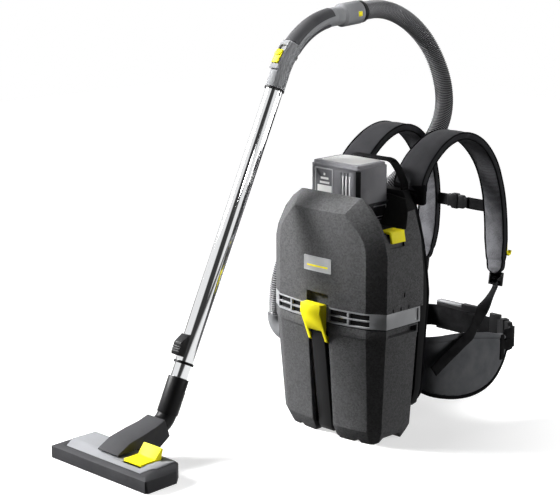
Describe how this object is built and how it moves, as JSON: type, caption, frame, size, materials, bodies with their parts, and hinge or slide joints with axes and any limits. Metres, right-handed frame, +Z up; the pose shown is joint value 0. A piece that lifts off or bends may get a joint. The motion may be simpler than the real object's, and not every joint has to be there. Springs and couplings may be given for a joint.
{
  "type": "backpack vacuum cleaner",
  "caption": "Cordless backpack vacuum cleaner with a latched dust container, padded harness, ribbed hose, telescopic wand and floor tool, standing with its tool on the floor.",
  "frame": {"origin": "on the floor, under the middle of the footprint without the hose", "axes": "+Z up, +Y towards the wearer's side (harness), -Y towards the front latch and the floor tool, +X to the side away from the hose inlet"},
  "size_m": [0.4616, 0.9922, 0.8821],
  "materials": {
    "foam": "matte",
    "black_plastic": "matte",
    "grey_plastic": "satin",
    "dark_grey_plastic": "satin",
    "yellow_plastic": "satin",
    "hose_plastic": "satin",
    "chromed_tube": "polished",
    "plain_steel": "satin",
    "soft_rubber": "matte",
    "padded_fabric": "matte",
    "webbing": "matte",
    "filter_fleece": "matte",
    "card": "matte",
    "contact_brass": "satin",
    "battery_plastic": "satin"
  },
  "bodies": {
    "container": {"container_shell": "foam", "container_strip": "black_plastic", "container_seal": "soft_rubber", "latch_pin": "plain_steel"},
    "latch": {"front_latch": "yellow_plastic"},
    "machine": {"filter_bag": "filter_fleece", "bag_collar": "card", "vent_band": "grey_plastic", "vent_mesh": "black_plastic", "head_shell": "foam", "suction_motor": "black_plastic", "motor_filter": "filter_fleece", "battery_bay": "black_plastic", "battery_contacts": "contact_brass", "carry_handle": "webbing", "back_frame": "black_plastic", "frame_screws": "plain_steel", "back_cushion": "padded_fabric", "left_shoulder_strap": "padded_fabric", "right_shoulder_strap": "padded_fabric", "strap_ladder_locks": "black_plastic", "left_strap_webbing": "webbing", "right_strap_webbing": "webbing", "accessory_hook": "yellow_plastic", "chest_webbing": "webbing", "chest_buckle_socket": "black_plastic", "chest_buckle_plug": "black_plastic", "left_hip_wing": "padded_fabric", "right_hip_wing": "padded_fabric", "belt_webbing": "webbing", "belt_ladder_lock": "black_plastic", "belt_buckle_socket": "black_plastic", "belt_buckle_plug": "black_plastic", "control_housing": "black_plastic", "control_cover": "grey_plastic", "inlet_saddle": "black_plastic", "hose_elbow": "grey_plastic", "suction_hose": "hose_plastic", "hose_collar": "black_plastic"},
    "battery": {"battery_pack": "battery_plastic"},
    "battery_catch": {"battery_latch": "black_plastic"},
    "release_lever": {"battery_release": "yellow_plastic"},
    "control_button": {"control_key": "grey_plastic"},
    "handle": {"handle_shell": "dark_grey_plastic", "handle_ring": "dark_grey_plastic", "handle_grip": "soft_rubber", "outer_tube": "chromed_tube", "tube_collar": "black_plastic"},
    "slider": {"suction_slider": "yellow_plastic"},
    "hose_button": {"hose_release_button": "yellow_plastic"},
    "adjuster": {"tube_adjuster": "black_plastic"},
    "wand_end": {"inner_tube": "chromed_tube", "tool_cuff": "black_plastic", "tool_elbow": "dark_grey_plastic"},
    "neck": {"tool_neck": "dark_grey_plastic"},
    "floor_tool": {"tool_body": "black_plastic", "tool_top_plate": "grey_plastic"},
    "pedal": {"tool_pedal": "yellow_plastic"},
    "brushes": {"tool_brushes": "black_plastic"},
    "wheels": {"tool_wheels": "soft_rubber"}
  },
  "joints": [
    {"name": "latch_hinge", "type": "hinge", "parent": "container", "child": "latch", "pos_m": [0.064, -0.01972, 0.214], "axis": [1, 0, 0], "range_deg": [0, 110]},
    {"name": "machine_lift", "type": "slide", "parent": "container", "child": "machine", "axis": [0, 0, 1], "range_m": [0, 0.27]},
    {"name": "battery_slide", "type": "slide", "parent": "machine", "child": "battery", "axis": [0, 0, 1], "range_m": [0, 0.13]},
    {"name": "battery_latch_push", "type": "slide", "parent": "battery", "child": "battery_catch", "axis": [-1, 0, 0], "range_m": [0, 0.003], "stiffness_N_per_m": 300, "springref_m": -0.002},
    {"name": "battery_release_press", "type": "hinge", "parent": "machine", "child": "release_lever", "pos_m": [0.19, 0.056, 0.447], "axis": [0, 1, 0], "range_deg": [0, 8], "stiffness_Nm_per_rad": 1, "springref_deg": -5.73},
    {"name": "control_key_press", "type": "slide", "parent": "machine", "child": "control_button", "axis": [0, -1, 0], "range_m": [0, 0.0015], "stiffness_N_per_m": 200, "springref_m": -0.001},
    {"name": "hose_swivel", "type": "hinge", "parent": "machine", "child": "handle", "pos_m": [-0.082, 0.2449, 0.85717], "axis": [0, 0.9976, 0.0698], "continuous": true},
    {"name": "suction_slide", "type": "hinge", "parent": "handle", "child": "slider", "pos_m": [-0.082, 0.18035, 0.66219], "axis": [-1, 0, 0], "range_deg": [0, 3.4]},
    {"name": "hose_release_press", "type": "slide", "parent": "handle", "child": "hose_button", "axis": [-1, 0, 0], "range_m": [0, 0.002], "stiffness_N_per_m": 80, "springref_m": -0.002},
    {"name": "tube_adjuster_slide", "type": "slide", "parent": "handle", "child": "adjuster", "axis": [0, -0.4384, -0.8988], "range_m": [0, 0.006], "stiffness_N_per_m": 500, "springref_m": -0.004},
    {"name": "tube_extend", "type": "slide", "parent": "handle", "child": "wand_end", "axis": [0, -0.4384, -0.8988], "range_m": [0, 0.36]},
    {"name": "tool_swivel", "type": "hinge", "parent": "wand_end", "child": "neck", "pos_m": [-0.082, -0.33378, 0.06582], "axis": [0, -0.9397, -0.342], "range_deg": [-60, 60]},
    {"name": "tool_tilt", "type": "hinge", "parent": "neck", "child": "floor_tool", "pos_m": [-0.082, -0.396, 0.03], "axis": [1, 0, 0], "range_deg": [0, 35]},
    {"name": "pedal_rock", "type": "hinge", "parent": "floor_tool", "child": "pedal", "pos_m": [-0.009, -0.428, 0.033], "axis": [1, 0, 0], "range_deg": [0, 12]},
    {"name": "brush_slide", "type": "slide", "parent": "floor_tool", "child": "brushes", "axis": [0, 0, 1], "range_m": [0, 0.006]},
    {"name": "wheel_spin", "type": "hinge", "parent": "floor_tool", "child": "wheels", "pos_m": [-0.082, -0.397, 0.009], "axis": [1, 0, 0], "continuous": true}
  ],
  "couplings": [
    {"joint": "pedal_rock", "follows": "brush_slide", "rad_per_m": 34.9}
  ]
}
